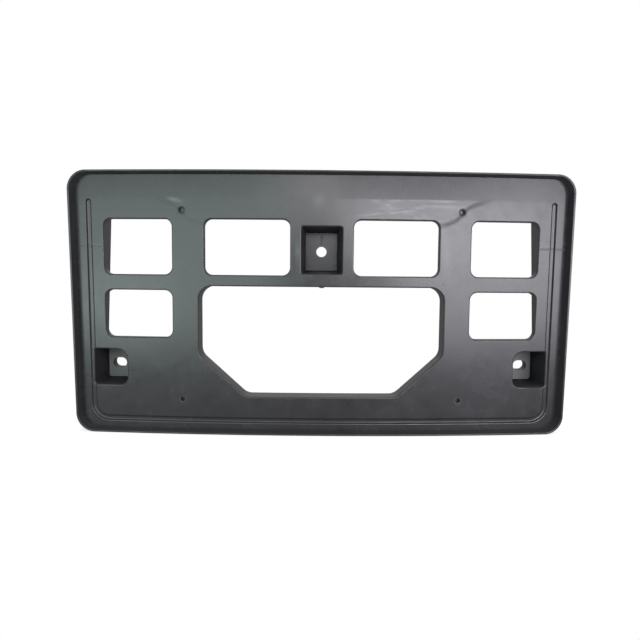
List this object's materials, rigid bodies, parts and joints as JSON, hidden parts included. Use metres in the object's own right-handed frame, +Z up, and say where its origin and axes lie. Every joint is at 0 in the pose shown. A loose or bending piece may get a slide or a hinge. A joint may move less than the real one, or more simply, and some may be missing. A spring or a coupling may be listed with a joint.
{
  "type": "number plate holder",
  "caption": "Bowed moulded plastic holder for a car's front number plate, with a raised lip around it, windows, a centre opening and deep pockets for the fixing screws.",
  "frame": {"origin": "centre of the four plate screw holes, on the plane through their mouths", "axes": "+X to the right seen from the front, +Y from the front to the back, towards the bumper, +Z up"},
  "size_m": [0.3218, 0.0509, 0.1669],
  "materials": {
    "moulding": "black injection-moulded plastic with a satin sheen"
  },
  "bodies": {
    "root": {"plate_holder": "moulding"}
  },
  "joints": []
}
